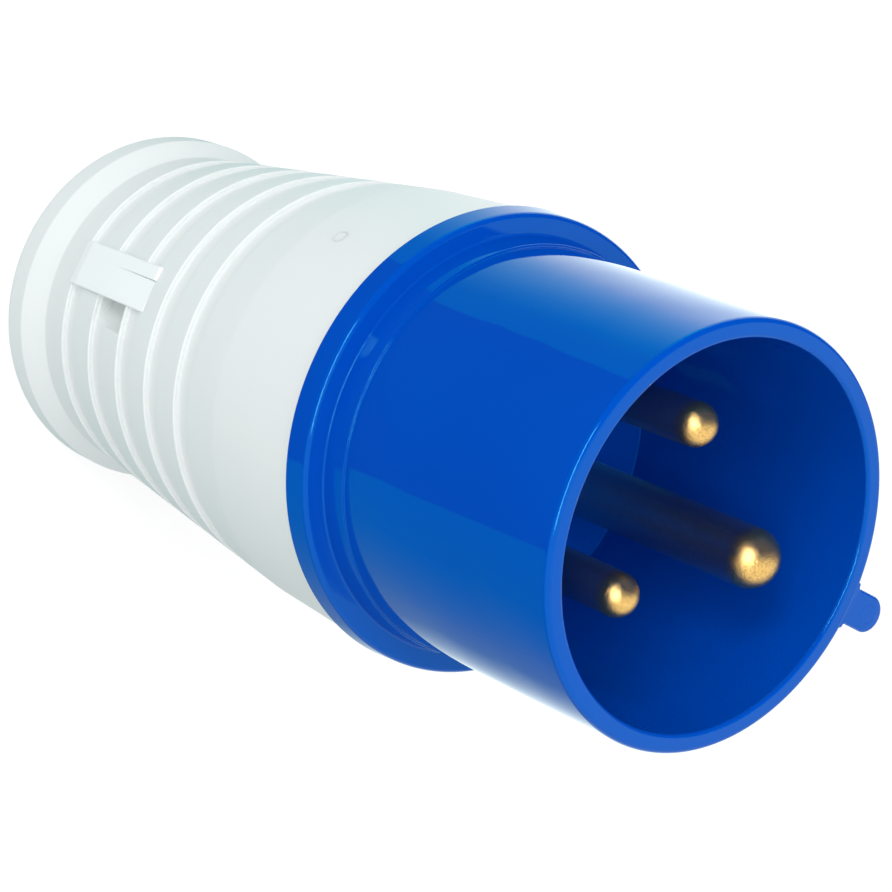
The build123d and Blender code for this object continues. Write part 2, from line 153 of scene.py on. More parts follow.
def rounded_outline(corners, steps=6, guard=0.12):
    """Points of an outline whose corners are arcs.

    Each corner is (r, z, radius). The arc's centre lies on the corner's bisector, and its points are the centre
    plus the radius times (cos, sin) of evenly spaced angles. One guard point stands on the straight at each end of
    an arc, so that flat stretches keep flat shading.
    """
    data = np.array(corners, float)
    places, radii = data[:, :2], data[:, 2]
    points = [places[0]]
    for before, corner, after, radius in zip(places[:-2], places[1:-1], places[2:], radii[1:-1]):
        if radius <= 0:
            points.append(corner)
            continue
        back = (before - corner) / np.linalg.norm(before - corner)
        ahead = (after - corner) / np.linalg.norm(after - corner)
        half = 0.5 * np.arccos(np.clip(back @ ahead, -1, 1))
        reach = radius / np.tan(half)
        bisector = (back + ahead) / np.linalg.norm(back + ahead)
        centre = corner + bisector * radius / np.sin(half)
        first = corner + back * reach - centre
        last = corner + ahead * reach - centre
        start = np.arctan2(first[1], first[0])
        sweep = np.arctan2(first[0] * last[1] - first[1] * last[0], first @ last)
        angles = start + sweep * np.linspace(0, 1, steps + 1)
        arc = centre + radius * np.stack([np.cos(angles), np.sin(angles)], axis=1)
        extra = guard * radius
        points.append(corner + back * (reach + extra))
        points.extend(arc)
        points.append(corner + ahead * (reach + extra))
    points.append(places[-1])
    return np.array(points)


def subdivided(outline, longest):
    """The outline with extra points, so that no stretch is longer than the given length."""
    pieces = []
    for a, b in zip(outline[:-1], outline[1:]):
        count = max(1, int(np.ceil(np.linalg.norm(b - a) / longest)))
        pieces.append(a + (b - a) * np.linspace(0, 1, count, endpoint=False)[:, None])
    return np.concatenate(pieces + [outline[-1:]])


def mesh_object(name, vertices, faces, sharp=None):
    """An object whose mesh is given in millimetres, with outward faces and smooth shading."""
    mesh = bpy.data.meshes.new(name)
    mesh.from_pydata((np.asarray(vertices) * MM).tolist(), [], faces)
    work = bmesh.new()
    work.from_mesh(mesh)
    bmesh.ops.remove_doubles(work, verts=work.verts, dist=1e-7)
    bmesh.ops.recalc_face_normals(work, faces=work.faces)
    work.to_mesh(mesh)
    work.free()
    mesh.polygons.foreach_set("use_smooth", np.ones(len(mesh.polygons), bool))
    if sharp:
        mesh.set_sharp_from_angle(angle=np.radians(sharp))
    mesh.update()
    piece = bpy.data.objects.new(name, mesh)
    bpy.context.scene.collection.objects.link(piece)
    return piece


def grid_faces(rows, columns, wrap_rows=False, wrap_columns=False):
    """Quads between neighbouring points of a grid of rows times columns."""
    row = np.arange(rows if wrap_rows else rows - 1)
    column = np.arange(columns if wrap_columns else columns - 1)
    i, j = np.meshgrid(row, column, indexing="ij")
    i2, j2 = (i + 1) % rows, (j + 1) % columns
    quads = np.stack([i * columns + j, i2 * columns + j, i2 * columns + j2, i * columns + j2], axis=-1)
    return quads.reshape(-1, 4).tolist()


def turned_grid(outline, angles):
    """Grid of the outline's points (r, z) at each angle a: (r cos a, r sin a, z)."""
    r, z = outline[:, 0], outline[:, 1]
    x = r[None, :] * np.cos(angles)[:, None]
    y = r[None, :] * np.sin(angles)[:, None]
    return np.stack([x, y, np.broadcast_to(z, x.shape)], axis=-1)


def turned_piece(name, outline, segments=256, closed=False, centre=(0, 0), sharp=None):
    """A piece turned about an upright line. An open outline starts and ends on that line."""
    angles = np.arange(segments) * TURN / segments
    grid = turned_grid(outline, angles) + np.array([centre[0], centre[1], 0.0])
    faces = grid_faces(segments, len(outline), wrap_rows=True, wrap_columns=closed)
    return mesh_object(name, grid.reshape(-1, 3), faces, sharp)


def finished(piece, nodes, slot, finish=None):
    """Gives a piece its finish (the slot's own unless named), hides the nodes it stands for and puts it in the root
    body.
    """
    piece.data.materials.append(finishes()[finish or slot])
    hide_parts(*nodes)
    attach(piece, "root")
    return piece


# Shader nodes

def new_material(name):
    """An empty material, with its nodes, its links and its Principled shader."""
    material = bpy.data.materials.new(name)
    material.use_nodes = True
    tree = material.node_tree
    return material, tree.nodes, tree.links, tree.nodes["Principled BSDF"]


def placed_group(nodes, group, **values):
    """A shader group put into a material, with values for its inputs: ring_height stands for Ring Height."""
    skin = nodes.new("ShaderNodeGroup")
    skin.node_tree = group
    for label, value in values.items():
        skin.inputs[label.replace("_", " ").title()].default_value = value
    return skin


def colour_mix(nodes, low, high):
    """A mix from one colour to another, as its Factor rises from 0 to 1."""
    mix = nodes.new("ShaderNodeMix")
    mix.data_type = "RGBA"
    mix.inputs["A"].default_value = low
    mix.inputs["B"].default_value = high
    return mix


def carried_over(nodes, links, source, given, result=(0.0, 1.0), smooth=False):
    """A value carried over from the given range to the resulting one, evenly or in a smooth S, and kept inside."""
    scale = nodes.new("ShaderNodeMapRange")
    if smooth:
        scale.interpolation_type = "SMOOTHSTEP"
    for label, value in zip(("From Min", "From Max", "To Min", "To Max"), (*given, *result)):
        scale.inputs[label].default_value = value
    links.new(source, scale.inputs["Value"])
    return scale.outputs["Result"]


def worked_out(nodes, links, operation, *terms):
    """The result of an operation on values, each a number or another node's output."""
    node = nodes.new("ShaderNodeMath")
    node.operation = operation
    for socket, term in zip(node.inputs, terms):
        if isinstance(term, float):
            socket.default_value = term
        else:
            links.new(term, socket)
    return node.outputs["Value"]


def reach_along(nodes, links, vector, direction):
    """How far a vector reaches along a direction: their dot product."""
    node = nodes.new("ShaderNodeVectorMath")
    node.operation = "DOT_PRODUCT"
    links.new(vector, node.inputs[0])
    node.inputs[1].default_value = direction
    return node.outputs["Value"]


def new_group(name, inputs, outputs):
    """An empty shader group with float inputs (name, default) and outputs (name, socket kind)."""
    group = bpy.data.node_groups.new(name, "ShaderNodeTree")
    for label, default in inputs:
        socket = group.interface.new_socket(label, in_out="INPUT", socket_type="NodeSocketFloat")
        socket.default_value = default
    for label, kind in outputs:
        group.interface.new_socket(label, in_out="OUTPUT", socket_type=kind)
    return group, group.nodes.new("NodeGroupInput"), group.nodes.new("NodeGroupOutput")


def moulding_group():
    """Slow waves of a moulded skin and its fine grain, as a normal, with a mask of faint colour drift."""
    group, given, result = new_group(
        "moulded_skin",
        [("Wave Scale", 60.0), ("Wave Height", 0.1), ("Grain Scale", 4000.0), ("Grain Height", 0.02)],
        [("Normal", "NodeSocketVector"), ("Drift", "NodeSocketFloat")])
    nodes, links = group.nodes, group.links
    place = nodes.new("ShaderNodeTexCoord")
    wave = nodes.new("ShaderNodeTexNoise")
    wave.inputs["Detail"].default_value = 1.5
    wave.inputs["Roughness"].default_value = 0.4
    grain = nodes.new("ShaderNodeTexNoise")
    grain.inputs["Detail"].default_value = 2.0
    links.new(place.outputs["Object"], wave.inputs["Vector"])
    links.new(place.outputs["Object"], grain.inputs["Vector"])
    links.new(given.outputs["Wave Scale"], wave.inputs["Scale"])
    links.new(given.outputs["Grain Scale"], grain.inputs["Scale"])
    slow = nodes.new("ShaderNodeBump")
    slow.inputs["Distance"].default_value = 0.001
    fine = nodes.new("ShaderNodeBump")
    fine.inputs["Distance"].default_value = 0.0001
    links.new(given.outputs["Wave Height"], slow.inputs["Strength"])
    links.new(wave.outputs["Fac"], slow.inputs["Height"])
    links.new(given.outputs["Grain Height"], fine.inputs["Strength"])
    links.new(grain.outputs["Fac"], fine.inputs["Height"])
    links.new(slow.outputs["Normal"], fine.inputs["Normal"])
    links.new(fine.outputs["Normal"], result.inputs["Normal"])
    links.new(wave.outputs["Fac"], result.inputs["Drift"])
    return group


def plastic(name, tint, roughness, group, wave=(60.0, 0.1), grain=(4000.0, 0.02), specular=0.5, drift=0.06,
            soften=0.0, gloss_tint=(1.0, 1.0, 1.0)):
    """A moulded plastic: its colour drifts a little, its skin waves slowly and has a fine grain.

    Wave and grain are each a scale and a height. Soften lets light spread under the skin. The roughness follows the
    drift, 15 % to either side.
    """
    material, nodes, links, shader = new_material(name)
    shader.inputs["Specular IOR Level"].default_value = specular
    shader.inputs["Specular Tint"].default_value = (*gloss_tint, 1.0)
    if soften:
        shader.inputs["Subsurface Weight"].default_value = soften
        shader.inputs["Subsurface Radius"].default_value = (0.001, 0.001, 0.001)
        shader.inputs["Subsurface Scale"].default_value = 1.0
    skin = placed_group(nodes, group, wave_scale=wave[0], wave_height=wave[1], grain_scale=grain[0],
                        grain_height=grain[1])
    links.new(skin.outputs["Normal"], shader.inputs["Normal"])
    low = tuple(channel * (1 - drift) for channel in tint[:3])
    high = tuple(min(1.0, channel * (1 + drift)) for channel in tint[:3])
    mix = colour_mix(nodes, (*low, 1.0), (*high, 1.0))
    links.new(skin.outputs["Drift"], mix.inputs["Factor"])
    links.new(mix.outputs["Result"], shader.inputs["Base Color"])
    rough = carried_over(nodes, links, skin.outputs["Drift"], (0.0, 1.0), (roughness * 0.85, roughness * 1.15))
    links.new(rough, shader.inputs["Roughness"])
    return material


def lathe_group():
    """Turning marks: rings across Z as a wave of height, broken up by noise, with a speckle mask."""
    group, given, result = new_group(
        "turned_skin", [("Ring Scale", 900.0), ("Ring Height", 0.15), ("Speckle Scale", 6000.0)],
        [("Normal", "NodeSocketVector"), ("Speckle", "NodeSocketFloat")])
    nodes, links = group.nodes, group.links
    place = nodes.new("ShaderNodeTexCoord")
    rings = nodes.new("ShaderNodeTexWave")
    rings.bands_direction = "Z"
    rings.inputs["Distortion"].default_value = 1.5
    rings.inputs["Detail"].default_value = 2.0
    speckle = nodes.new("ShaderNodeTexNoise")
    speckle.inputs["Detail"].default_value = 3.0
    bump = nodes.new("ShaderNodeBump")
    bump.inputs["Distance"].default_value = 0.00005
    grain = nodes.new("ShaderNodeBump")
    grain.inputs["Distance"].default_value = 0.0001
    grain.inputs["Strength"].default_value = 0.6
    links.new(place.outputs["Object"], rings.inputs["Vector"])
    links.new(place.outputs["Object"], speckle.inputs["Vector"])
    links.new(given.outputs["Ring Scale"], rings.inputs["Scale"])
    links.new(given.outputs["Speckle Scale"], speckle.inputs["Scale"])
    links.new(given.outputs["Ring Height"], bump.inputs["Strength"])
    links.new(rings.outputs["Fac"], bump.inputs["Height"])
    links.new(speckle.outputs["Fac"], grain.inputs["Height"])
    links.new(bump.outputs["Normal"], grain.inputs["Normal"])
    links.new(grain.outputs["Normal"], result.inputs["Normal"])
    links.new(speckle.outputs["Fac"], result.inputs["Speckle"])
    return group


def metal(name, tint, roughness, group, speckle=0.25, dark=0.5, film=0.0, shank=None):
    """A turned or rolled metal, speckled with darker grains, under a thin dull film.

    Where a shank tone is given, it takes the tint's place below the pins' round ends, blending over along Z. That
    tone is a
    painted reflection: greyer than the brass, so that the shanks show the dark blue cavity they mirror, though the
    pins are brass throughout. The roughness follows the speckle, 20 % to either side.
    """
    material, nodes, links, shader = new_material(name)
    shader.inputs["Metallic"].default_value = 1.0 - film
    shader.inputs["Coat Weight"].default_value = 3 * film
    shader.inputs["Coat Roughness"].default_value = 0.3
    skin = placed_group(nodes, group, ring_height=0.05)
    links.new(skin.outputs["Normal"], shader.inputs["Normal"])
    grains = colour_mix(nodes, tint, (dark, dark, dark, 1.0))
    grains.blend_type = "MULTIPLY"
    mask = carried_over(nodes, links, skin.outputs["Speckle"], (0.36, 0.5), (speckle, 0.0))
    links.new(mask, grains.inputs["Factor"])
    links.new(grains.outputs["Result"], shader.inputs["Base Color"])
    # Painted reflection: below the round ends the shank tone replaces the brass tint.
    if shank:
        place = nodes.new("ShaderNodeTexCoord")
        apart = nodes.new("ShaderNodeSeparateXYZ")
        links.new(place.outputs["Object"], apart.inputs["Vector"])
        height = carried_over(nodes, links, apart.outputs["Z"], (PAINTED_SHANK_HEIGHTS[0] * MM, PAINTED_SHANK_HEIGHTS[1] * MM))
        tone = colour_mix(nodes, shank, tint)
        links.new(height, tone.inputs["Factor"])
        links.new(tone.outputs["Result"], grains.inputs["A"])
    rough = carried_over(nodes, links, skin.outputs["Speckle"], (0.0, 1.0), (roughness * 0.8, roughness * 1.2))
    links.new(rough, shader.inputs["Roughness"])
    return material


MADE = {}


def finishes():
    """The plug's materials by slot, made once."""
    if MADE:
        return MADE
    skin = moulding_group()
    turned = lathe_group()
    MADE["blue_plastic"] = plastic("blue_moulding", colour("blue"), 0.03, skin, wave=(60.0, 0.3),
                                   grain=(6000.0, 0.01), drift=0.05, gloss_tint=(0.15, 1.0, 1.0))
    MADE["light_grey_plastic"] = plastic("grey_moulding", colour("light_grey"), 0.38, skin, wave=(50.0, 0.08),
                                         grain=(3500.0, 0.03), specular=0.45, drift=0.02, soften=0.25)
    # Painted light: the tab's colour is the housing's grey made 16 % lighter, so that its top shows brighter than
    # the lands, though it is the same moulding.
    pale = tuple(min(1.0, channel * 1.16) for channel in colour("light_grey"))
    MADE["painted_light_tab"] = plastic("smooth_tab", pale, 0.3, skin, wave=(50.0, 0.03), grain=(3500.0, 0.02),
                               drift=0.01)
    MADE["black_plastic"] = plastic("black_moulding", colour("black"), 0.5, skin, grain=(2500.0, 0.06))
    MADE["seal_rubber"] = plastic("seal_skin", colour("rubber"), 0.7, skin, grain=(1800.0, 0.08), specular=0.3)
    # The shank tone is a painted reflection of the dark blue cavity on the brass shanks.
    MADE["brass"] = metal("turned_brass", colour("brass"), 0.22, turned, speckle=0.45, dark=0.35, film=0.02,
                          shank=(0.58, 0.6, 0.5, 1.0))
    MADE["plated_steel"] = metal("zinc_plating", colour("steel"), 0.3, turned, speckle=0.15)
    return MADE


# Pieces

def collar_heights(size):
    """Heights of the rim, the flange's front and back faces, and the cavity floor."""
    rim = size["rim_height"]
    front = rim - size["collar_length"]
    return rim, front, front - size["flange_thickness"], rim - size["cavity_depth"]


def shroud_outline(size):
    """Half section of the shroud, from the floor's middle out over the rim and back under the skirt.

    Its corners are (r, z, radius): the cavity, the rim, the collar, the shoulder, the flange and the hidden skirt.
    """
    rim, front, back, floor = collar_heights(size)
    floor_back = floor - 6.0
    skirt_end = back - 9.2
    skirt_inside, skirt_outside = 22.4, 24.4
    corners = [
        (0.0, floor, 0),
        (21.3, floor, 0.2),
        (size["mouth_radius"], rim, 0.45),
        (COLLAR_TOP, rim, 0.6),
        (COLLAR_FOOT, front + SHOULDER, 0.15),
        (24.8, front + SHOULDER, 0.15),
        (25.3, front, 0.25),
        (size["flange_radius"], front, 0.6),
        (size["flange_radius"] + 0.3, back, 0.15),
        (skirt_outside, back, 0.1),
        (skirt_outside, skirt_end, 0.3),
        (skirt_inside, skirt_end, 0.3),
        (skirt_inside, floor_back, 0.3),
        (0.0, floor_back, 0),
    ]
    return subdivided(rounded_outline(corners), 4.0)


def key_surface(size):
    """The key: at each height z its section is the nose's half circle, two flanks and two root fillets.

    The root fillet, of radius f, has its centre f outside the flank, at the collar's radius plus f from the axis, so
    it leaves the collar tangentially. Near both ends the section shrinks by e (1 - cos t) while z moves by e sin t.
    u runs outwards, towards -Y, and v across, towards +X.
    """
    rim, front, _, _ = collar_heights(size)
    half, reach, fillet, edge, rows_between = 2.2, 29.4, 0.7, 0.4, 10
    low, high = front + SHOULDER + 1.0, rim - KEY_SINK
    turn = np.linspace(0, 0.5 * np.pi, 6)
    between = np.linspace(low + edge, high - edge, rows_between + 2)[1:-1]
    z = np.concatenate([low + edge * (1 - np.cos(turn)), between, high - edge * (1 - np.sin(turn))])
    inset = np.concatenate([edge * (1 - np.sin(turn)), np.zeros(rows_between), edge * (1 - np.cos(turn))])
    share = (z - (front + SHOULDER)) / (size["collar_length"] - SHOULDER)
    collar = COLLAR_FOOT + share * (COLLAR_TOP - COLLAR_FOOT)
    width = half - inset
    across = width + fillet
    along = np.sqrt((collar + fillet) ** 2 - across ** 2)
    start = np.pi + np.arctan2(across, along)
    fillet_angle = start[:, None] + (1.5 * np.pi - start)[:, None] * np.linspace(0, 1, 7)
    root_u = along[:, None] + fillet * np.cos(fillet_angle)
    root_v = across[:, None] + fillet * np.sin(fillet_angle)
    nose_angle = np.linspace(0.5 * np.pi, -0.5 * np.pi, 25)
    nose_u = (reach - half) + width[:, None] * np.cos(nose_angle)
    nose_v = width[:, None] * np.sin(nose_angle)
    inner = collar[:, None] - 1.0
    u = np.concatenate([inner, root_u, nose_u, root_u[:, ::-1], inner], axis=1)
    v = np.concatenate([root_v[:, :1], root_v, nose_v, -root_v[:, ::-1], -root_v[:, :1]], axis=1)
    grid = np.stack([v, -u, np.broadcast_to(z[:, None], u.shape)], axis=-1)
    rows, columns = grid.shape[:2]
    faces = grid_faces(rows, columns, wrap_columns=True)
    faces.append(list(range(columns)))
    faces.append([(rows - 1) * columns + i for i in range(columns)])
    return grid.reshape(-1, 3), faces


def lip_outline(top, radius=1.14, rise=0.03, half_width=0.09, foot=0.1):
    """Section of a low raised ring: a half circle flattened to the given rise, closed under the surface."""
    turn = np.linspace(np.pi, 0, 9)
    arch = np.stack([radius + half_width * np.cos(turn), top + rise * np.sin(turn)], axis=1)
    return np.concatenate([arch, [(radius + half_width, top - foot), (radius - half_width, top - foot)]])


def joined_piece(first, second):
    """The second piece's surface put into the first piece's mesh."""
    work = bmesh.new()
    work.from_mesh(first.data)
    work.from_mesh(second.data)
    work.to_mesh(first.data)
    work.free()
    bpy.data.objects.remove(second)
    return first


def body_radius(z):
    """Radius of the housing's lands at height z: a cone up to the bend, a steeper wall above it."""
    return np.interp(z, BODY_HEIGHTS, BODY_RADII)


def groove_starts(size):
    """Heights of the grooves' rear edges."""
    return FIRST_GROOVE + np.arange(size["groove_count"]) * size["groove_pitch"]


def housing_outline(size):
    """Half section of the housing's skin, from the tail's mouth round the outside and back through the inside.

    Its corners are (r, z, radius): the tail flange and its slope, then four corners for each groove, then the bend,
    the front edge, the step for the gasket, the inner cone and the shelf that the seal lies on.
    """
    depth, width = size["groove_depth"], size["groove_width"]
    mouth, flange = 18.6, 24.15
    start, bend, front = BODY_HEIGHTS
    corners = [(mouth, 6.0, 0), (mouth, 0.0, 0.3), (flange, 0.0, 0.7), (flange, 4.1, 0.7),
               (BODY_RADII[0], start, 0.7)]
    for z in groove_starts(size):
        top = z + width
        corners.append((body_radius(z), z, 0.15))
        corners.append((body_radius(z) - depth, z, 0.3))
        corners.append((body_radius(top) - depth, top, 0.15))
        corners.append((body_radius(top), top, 0.15))
    corners += [(BODY_RADII[1], bend, 3.0), (BODY_RADII[2], front, 0.12), (24.5, front, 0), (24.5, 65.8, 0),
                (23.9, 65.8, 0), (23.9, bend, 0), (19.4, 8.6, 0), (13.0, 8.6, 0.3), (13.0, 6.0, 0.3),
                (mouth, 6.0, 0)]
    return rounded_outline(corners, steps=4)


def housing_mark(z=63.6, angle=58.8):
    """A faint ring of radius 0.9 on the housing's front part, turned about the line out from the axis at z.

    It is made round the upright axis, tipped by a quarter turn and swung round by the angle in degrees.
    """
    ring = turned_piece("ring_skin", lip_outline(0.0, radius=0.9, rise=0.02), segments=48, closed=True)
    place = Matrix.Rotation(np.radians(angle), 4, "Z") @ Matrix.Rotation(0.5 * np.pi, 4, "Y")
    place.translation = place @ Vector((-z * MM, 0.0, body_radius(z) * MM))
    ring.data.transform(place)
    return ring


def tab_heights(size):
    """Heights of the tab's heel, of its top's rear end, of the slit's start and of its front end.

    The front end lies a little past the third groove.
    """
    tip = FIRST_GROOVE + 2 * size["groove_pitch"] + size["groove_width"] + 0.9
    return 12.9, 15.6, tip - 11.9, tip


def scoop_depths(size, x, y, z, around):
    """How far the skin sinks along Y to meet the scoop, a round channel along Z, 2 mm below the grooves' floor.

    With the channel's radius R and its middle (xc, yc), its wall at x is yc - sqrt(R^2 - (x - xc)^2), and the skin
    sinks to it where it lies higher. Only points that are marked as around the scoop sink.
    """
    low, high = scoop_heights(size)
    xc = 0.6 - size["tab_width"] / 2
    yc = body_radius(FIRST_GROOVE + size["groove_pitch"]) - size["groove_depth"] - 2.0 + SCOOP_RADIUS
    wall = yc - np.sqrt(np.maximum(SCOOP_RADIUS ** 2 - (x - xc) ** 2, 0.0))
    inside = (z > low) & (z < high) & (abs(x - xc) < SCOOP_RADIUS) & around
    return np.where(inside, np.maximum(y - wall, 0.0), 0.0)


def scoop_heights(size):
    """Heights of the scoop's ends, from just inside the second groove to just before the third."""
    low = FIRST_GROOVE + size["groove_pitch"]
    return low + size["groove_width"] * 0.05, low + size["groove_pitch"] - size["groove_width"] * 0.1


def with_cuts(outline, heights, least_radius=21.0):
    """The outline with a point wherever its outer side passes one of the heights."""
    pieces = []
    for a, b in zip(outline[:-1], outline[1:]):
        pieces.append(a[None])
        if min(a[0], b[0]) > least_radius and abs(b[1] - a[1]) > 1e-6:
            inside = heights[(heights > min(a[1], b[1])) & (heights < max(a[1], b[1]))]
            inside = np.sort(inside) if b[1] > a[1] else np.sort(inside)[::-1]
            pieces.append(a + (b - a) * ((inside - a[1]) / (b[1] - a[1]))[:, None])
    return np.concatenate(pieces + [outline[-1:]])


def housing_surface(size):
    """The housing's outline turned about the axis, sunk by scoop_depths beside the tab.

    Under the tab the skin stays at or below the grooves' floor, so the tab alone shows there. Extra rings stand at
    the ends of the scoop and the tab, and the angles in degrees are finer round them.
    """
    low, high = scoop_heights(size)
    step, fine_step, skin_radius = 0.02, 0.25, 22.0
    first, last = 80.0, 110.0
    _, rear, _, tip = tab_heights(size)
    ends = [low - step, low + step, high - step, high + step, rear, rear + step, tip - step, tip]
    heights = np.concatenate([ends, np.arange(low, high, 0.8)[1:]])
    outline = with_cuts(housing_outline(size), heights)
    even = np.arange(216) * TURN / 216
    fine = np.radians(np.arange(first, last + 2.0, fine_step))
    angles = np.unique(np.round(np.concatenate([even, fine]), 9))
    grid = turned_grid(outline, angles)
    outside = np.hypot(grid[..., 0], grid[..., 1]) > skin_radius
    facing = (angles > np.radians(first)) & (angles < np.radians(last))
    grid[..., 1] -= scoop_depths(size, grid[..., 0], grid[..., 1], grid[..., 2], outside & facing[:, None])
    under = outside & facing[:, None] & (abs(grid[..., 0]) < size["tab_width"] / 2 - 0.1)
    under &= (grid[..., 2] > rear + step / 2) & (grid[..., 2] < tip - step / 2)
    seat = body_radius(grid[..., 2]) - size["groove_depth"]
    grid[..., 1] = np.where(under, np.minimum(grid[..., 1], seat), grid[..., 1])
    faces = grid_faces(len(angles), len(outline), wrap_rows=True, wrap_columns=True)
    return grid.reshape(-1, 3), faces


def tab_surface(size):
    """The latch tab: its side outline (y, z) carried across x from -w to w, with rounded long edges.

    Past the slit's start the tongue, on the -X side of the split, dips by d t^1.5, where t rises from 0 to 1 at the
    tip, and a fine slit of depth s t parts it from the strip. Over the scoop the tongue's foot lies higher.
    """
    heel, rear, slit, tip = tab_heights(size)
    low, high = scoop_heights(size)
    half = size["tab_width"] / 2
    split, root, edge, gap = half - 1.85, 20.5, 0.2, 0.11
    deepest_dip, deepest_slit, nick = 0.36, 0.3, 0.01
    side = rounded_outline([
        (root, heel, 0),
        (body_radius(heel) - 0.02, heel, 0),
        (body_radius(rear) + 0.6, rear, 0.3),
        (body_radius(tip) + 0.28, tip + nick, 0.2),
        (root, tip + nick, 0)], steps=5)
    heights = np.concatenate([[low - nick, low + nick, high - nick, high + nick], np.arange(slit, tip, 0.4)])
    side = with_cuts(side, heights)[1:-1]
    y, z = side[:, 0], side[:, 1]
    share = np.clip((z - slit) / (tip - slit), 0, 1)
    over = (z > low) & (z < high)
    foot = np.where(over, body_radius(FIRST_GROOVE + size["groove_pitch"]) - 0.3, root)
    arc = np.linspace(0, 0.5 * np.pi, 6)
    middle = [-0.5 * half, 0.0, split - 3 * gap, split - gap, split - gap, split, split, split + 0.06, split + 0.16,
              0.8 * half]
    across = np.concatenate([-half + edge * (1 - np.cos(arc)), middle, half - edge * (1 - np.cos(arc[::-1]))])
    sunk = np.concatenate([edge * (1 - np.sin(arc)), np.zeros(len(middle)), edge * (1 - np.sin(arc[::-1]))])
    tongue = across < split - 0.5 * gap
    dip = deepest_dip * share[:, None] ** 1.5
    top = y[:, None] - sunk - dip * tongue
    # The slit's floor lies between the second column at split - gap and the first at split
    cut = np.zeros(len(across), bool)
    slit_floor = len(arc) + 4
    cut[slit_floor:slit_floor + 2] = True
    top -= deepest_slit * share[:, None] * cut + dip * (cut & ~tongue)
    top = np.maximum(top, foot[:, None] + 0.02)
    rows = np.broadcast_to(z[:, None], top.shape)
    body = np.stack([np.broadcast_to(across, top.shape), top, rows], axis=-1)

    def line(x, level):
        """One more column of the grid, at x and the given level of y."""
        return np.stack([np.full_like(z, x), level, z], axis=-1)[:, None]

    whole = np.full_like(z, root)
    grid = np.concatenate([line(-half, foot), body, line(half, whole), line(split + 0.5, whole),
                           line(split + 0.5, foot)], axis=1)
    count, columns = grid.shape[:2]
    faces = grid_faces(count, columns, wrap_columns=True)
    faces.append(list(range(columns)))
    faces.append([(count - 1) * columns + i for i in range(columns)])
    return grid.reshape(-1, 3), faces


def pin_outline(radius, tip, floor):
    """Half section of a pin: an upright shank and a round end, (r cos t, tip - r + r sin t)."""
    rows = 16
    turn = np.linspace(0, 0.5 * np.pi, 25)
    dome = np.stack([radius * np.cos(turn), tip - radius + radius * np.sin(turn)], axis=1)
    shank = np.array([(0.0, floor), (radius, floor), (radius, floor + 0.1)])
    upright = np.stack([np.full(rows, radius), np.linspace(floor + 2.0, tip - radius, rows + 1)[:-1]], axis=1)
    return np.concatenate([shank, upright, dome])


class PLUG_OT_shroud(Operator):
    """Builds the blue collar, flange and key as one smooth surface"""

    bl_idname = "plug.shroud"
    bl_label = "Shroud"

    def execute(self, context):
        size = sizes()
        shell = turned_piece("shroud_skin", shroud_outline(size), segments=320, sharp=40)
        vertices, faces = key_surface(size)
        shell = joined_piece(shell, mesh_object("key_skin", vertices, faces, sharp=40))
        mark = turned_piece("mark_skin", lip_outline(size["rim_height"] - KEY_SINK), segments=48, closed=True,
                            centre=(0, -27.2), sharp=50)
        shell = joined_piece(shell, mark)
        finished(shell, ["shroud"], "blue_plastic")
        return {"FINISHED"}


class PLUG_OT_housing(Operator):
    """Builds the grooved rear housing with its tail flange, latch tab and scoop"""

    bl_idname = "plug.housing"
    bl_label = "Rear housing"

    def execute(self, context):
        size = sizes()
        vertices, faces = housing_surface(size)
        shell = joined_piece(mesh_object("housing_skin", vertices, faces, sharp=40), housing_mark())
        finished(shell, ["rear_housing"], "light_grey_plastic")
        vertices, faces = tab_surface(size)
        tab = mesh_object("latch_tab", vertices, faces, sharp=35)
        # The tab takes the lighter copy of the housing's finish, whose colour is painted light.
        finished(tab, ["rear_housing"], "light_grey_plastic", finish="painted_light_tab")
        return {"FINISHED"}


class PLUG_OT_pins(Operator):
    """Builds the three brass pins with their round ends"""

    bl_idname = "plug.pins"
    bl_label = "Pins"

    def execute(self, context):
        size = sizes()
        foot = size["rim_height"] - size["cavity_depth"] - 4.0
        for name in ("line", "neutral", "earth"):
            low, high = node_box(f"{name}_pin")
            radius = size["earth_radius"] if name == "earth" else size["pole_radius"]
            outline = pin_outline(radius, high[2], foot)
            pin = turned_piece(f"{name}_pin_skin", outline, segments=96, centre=(low[:2] + high[:2]) / 2, sharp=40)
            finished(pin, [f"{name}_pin"], "brass")
        return {"FINISHED"}


class PLUG_OT_tail(Operator):
    """Builds the rubber seal and its retaining ring in the tail"""

    bl_idname = "plug.tail"
    bl_label = "Tail seal"

    def execute(self, context):
        # Both sections are corners (r, z, radius), closed by their first corner
        seal = [(8.0, 2.0, 0), (18.6, 2.0, 0), (18.6, 6.0, 0), (9.6, 6.0, 0.5), (7.1, 9.0, 1.0), (7.1, 15.0, 0.5),
                (5.5, 15.0, 0.5), (5.5, 9.0, 1.5), (8.0, 2.0, 0)]
        ring = [(18.6, 0.5, 0), (18.6, 2.0, 0), (11.0, 2.0, 0), (11.0, 1.4, 0.1), (11.9, 0.5, 0.2),
                (18.6, 0.5, 0)]
        for name, section, node, slot in (("seal_skin", seal, "cable_seal", "seal_rubber"),
                                          ("retainer_skin", ring, "seal_retainer", "light_grey_plastic")):
            piece = turned_piece(name, rounded_outline(section)[:-1], segments=160, closed=True, sharp=35)
            finished(piece, [node], slot)
        return {"FINISHED"}


class PLUG_OT_inner(Operator):
    """Gives the hidden pieces their finishes"""

    bl_idname = "plug.inner"
    bl_label = "Inner pieces"

    def execute(self, context):
        slots = {part["node"]: part["material_slot"] for part in frame["record"]["subparts"]}
        for name, node in frame["nodes"].items():
            node.data.materials.clear()
            node.data.materials.append(finishes()[slots[name]])
        return {"FINISHED"}


# Studio

